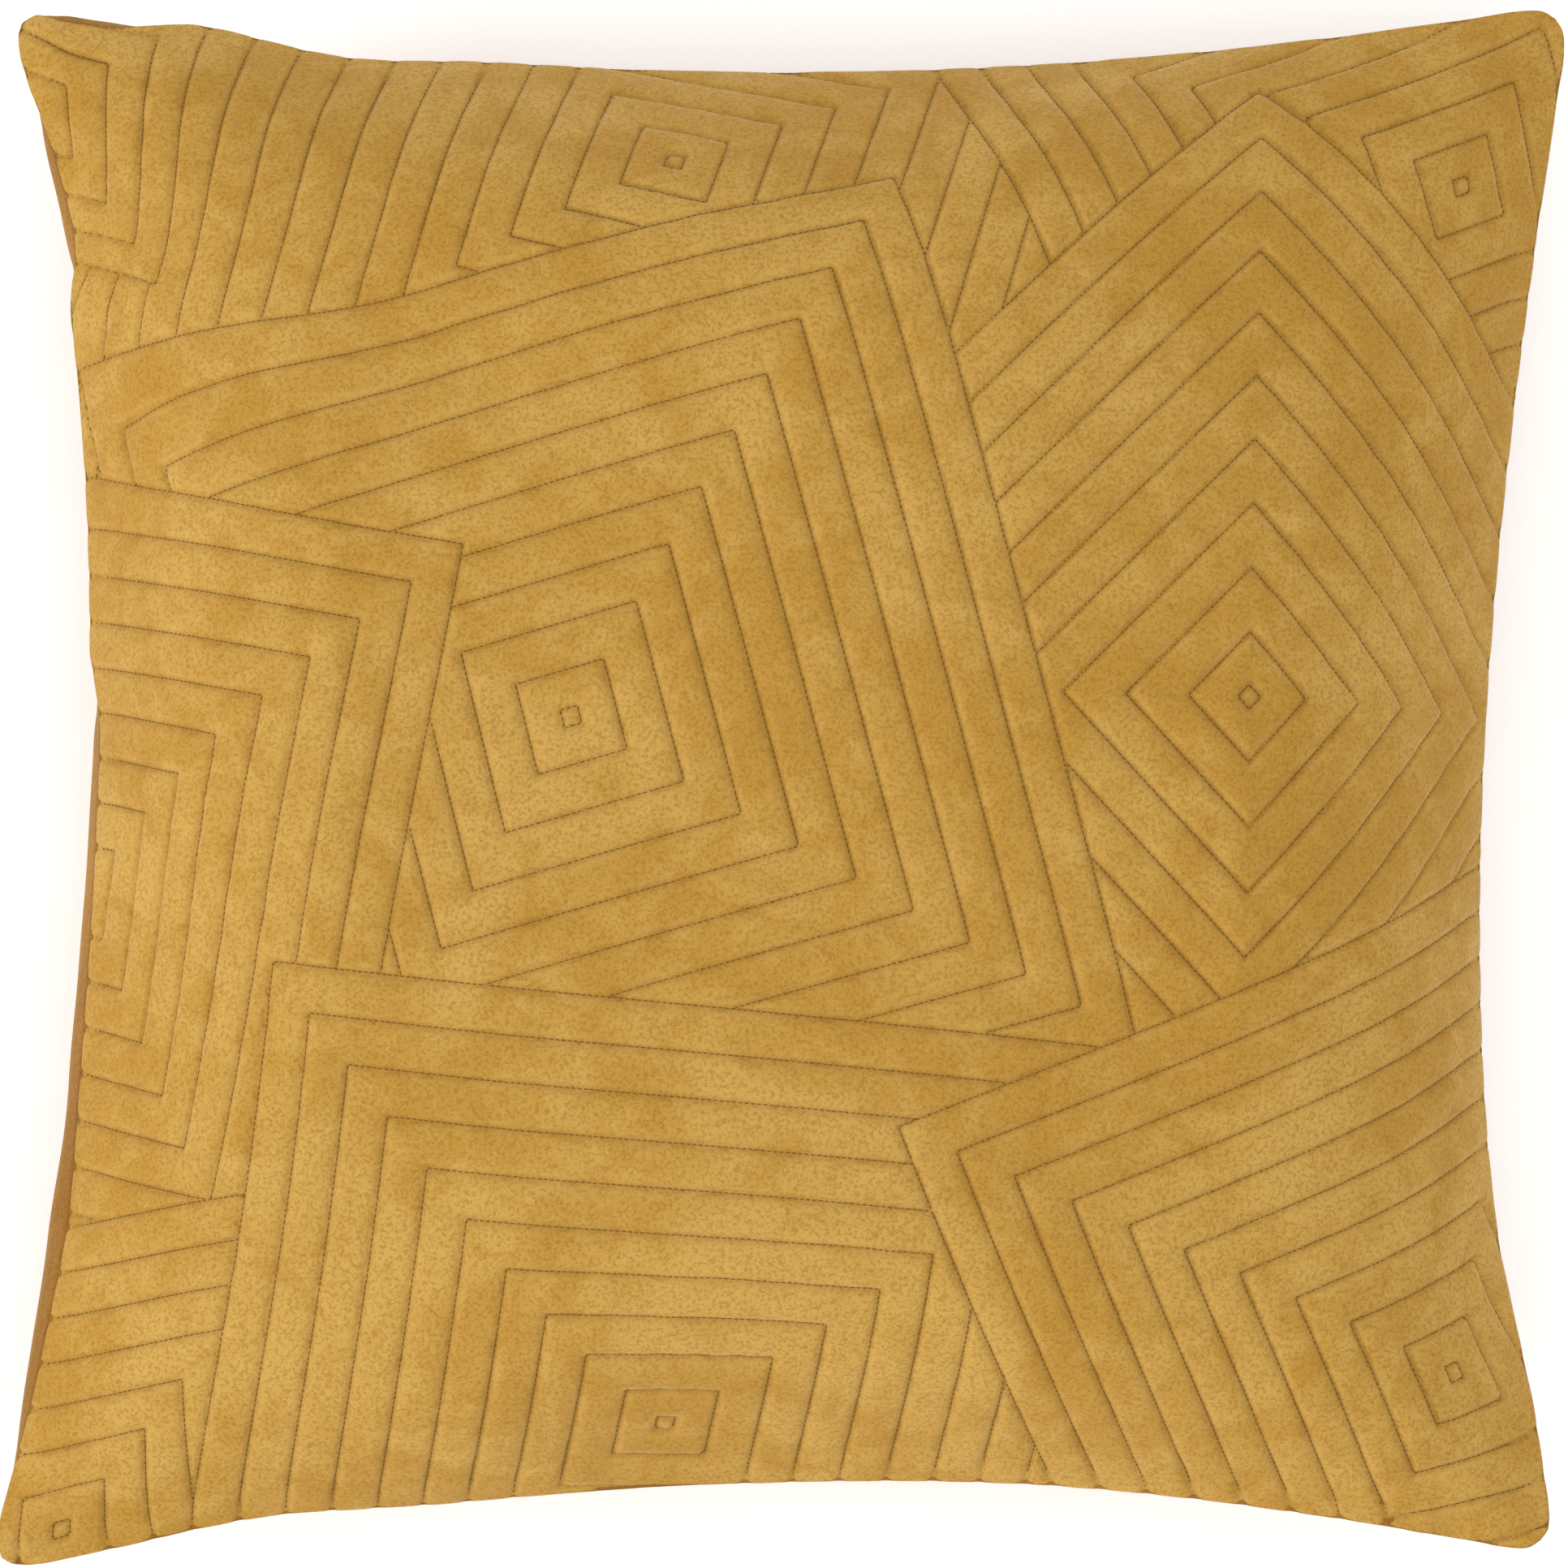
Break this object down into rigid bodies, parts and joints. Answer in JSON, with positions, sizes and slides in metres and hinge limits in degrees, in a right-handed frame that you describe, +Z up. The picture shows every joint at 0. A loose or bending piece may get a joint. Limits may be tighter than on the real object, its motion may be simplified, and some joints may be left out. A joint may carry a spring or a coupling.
{
  "type": "throw pillow",
  "caption": "Square throw pillow with a geometric quilted velvet front, a plain velvet back, a hidden zip in one side seam and a stuffed insert.",
  "frame": {"origin": "middle of the flat underside, on the surface the pillow lies on", "axes": "+Z up out of the quilted front, +X to the right and +Y to the top of the quilted pattern; the zip is in the -Y side"},
  "size_m": [0.488, 0.4836, 0.15],
  "materials": {
    "front_velvet": "matte",
    "back_velvet": "matte",
    "seam_thread": "satin",
    "wadding": "matte",
    "backing_cloth": "matte",
    "zip_tape": "matte",
    "zip_coil": "satin",
    "zip_metal": "satin",
    "label_satin": "satin",
    "ticking": "matte",
    "filling": "matte"
  },
  "bodies": {
    "cushion": {"front_velvet": "front_velvet", "front_wadding": "wadding", "front_backing_cloth": "backing_cloth", "back_velvet": "back_velvet", "seam_thread_top": "seam_thread", "seam_thread_left": "seam_thread", "seam_thread_right": "seam_thread", "seam_thread_bottom_right": "seam_thread", "seam_thread_bottom_left": "seam_thread", "zip_tape_front": "zip_tape", "zip_tape_back": "zip_tape", "zip_coil_front": "zip_coil", "zip_coil_back": "zip_coil", "zip_stitch_front": "seam_thread", "zip_stitch_back": "seam_thread", "zip_top_stop_front": "zip_metal", "zip_top_stop_back": "zip_metal", "zip_bottom_stop": "zip_metal", "care_label": "label_satin", "insert_front_cover": "ticking", "insert_back_cover": "ticking", "insert_filling": "filling"},
    "slider": {"zip_slider": "zip_metal"},
    "pull": {"zip_pull": "zip_metal"}
  },
  "joints": [
    {"name": "slider_run", "type": "hinge", "parent": "cushion", "child": "slider", "pos_m": [0, -1.42267, 0.064], "axis": [0, 0, 1], "range_deg": [0, 17.17]},
    {"name": "pull_swing", "type": "hinge", "parent": "slider", "child": "pull", "pos_m": [0.18092, -0.22812, 0.064], "axis": [0, 0, 1], "range_deg": [0, 150]}
  ]
}
